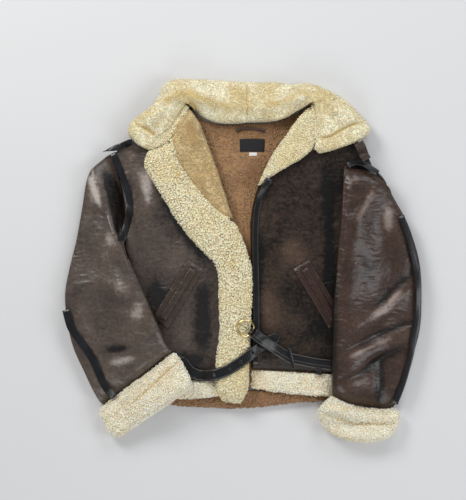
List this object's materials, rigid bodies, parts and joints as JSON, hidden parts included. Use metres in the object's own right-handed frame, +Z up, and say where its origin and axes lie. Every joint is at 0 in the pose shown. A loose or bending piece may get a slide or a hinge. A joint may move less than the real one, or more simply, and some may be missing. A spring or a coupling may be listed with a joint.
{
  "type": "flying jacket",
  "caption": "Sheepskin flying jacket laid flat with its fronts open: brown leather, cream fleece collar, lapels, cuffs and hem, black taped seams, welt pockets and an open waist belt",
  "frame": {"origin": "centre of the footprint, on the surface the jacket lies on", "axes": "+Y towards the collar, +Z up off the surface, +X towards the wearer's left sleeve"},
  "size_m": [0.8294, 0.8414, 0.081],
  "materials": {
    "leather": "worn brown leather with a soft sheen",
    "fleece": "cream curly fleece",
    "fleece_tan": "tan combed fleece",
    "tape": "black leather tape",
    "belt": "black strap leather with stitched edges",
    "brass": "pale polished brass",
    "label": "plain woven black cloth",
    "label_tab": "plain woven white cloth",
    "loop": "brown leather cord"
  },
  "bodies": {
    "jacket": {"back_panel": "fleece_tan", "hem_band_back": "fleece_tan", "front_right": "leather", "front_left": "leather", "hem_band_right": "fleece", "hem_band_left": "fleece", "facing_right": "fleece_tan", "lapel_band_right": "fleece", "lapel_left": "fleece", "collar": "fleece", "pocket_frame_left": "leather", "pocket_welt_left": "leather", "pocket_frame_right": "leather", "pocket_welt_right": "leather", "belt_strap": "belt", "sleeve_right": "leather", "sleeve_left": "leather", "cuff_right": "fleece", "cuff_left": "fleece", "armhole_tape_right": "tape", "sleeve_tape_right": "tape", "sleeve_tape_left": "tape", "armhole_tape_left": "tape", "shoulder_tape_left": "tape", "zip_tape_left": "tape", "shoulder_tab_right": "tape", "neck_label": "label", "size_tab": "label_tab", "hanger_loop": "loop", "belt_tongue": "belt", "belt_keeper": "belt", "belt_loop": "belt", "belt_fold_upper": "belt", "belt_fold_lower": "belt"},
    "ring": {"buckle_ring": "brass"},
    "prong": {"buckle_prong": "brass"}
  },
  "joints": [
    {"name": "ring_swing", "type": "hinge", "parent": "jacket", "child": "ring", "pos_m": [0.01817, -0.16109, 0.05704], "axis": [0.5861, 0.8102, 0], "range_deg": [0, 95]},
    {"name": "prong_swing", "type": "hinge", "parent": "ring", "child": "prong", "pos_m": [0.01817, -0.16109, 0.05704], "axis": [0.5861, 0.8102, 0], "range_deg": [0, 45]}
  ]
}
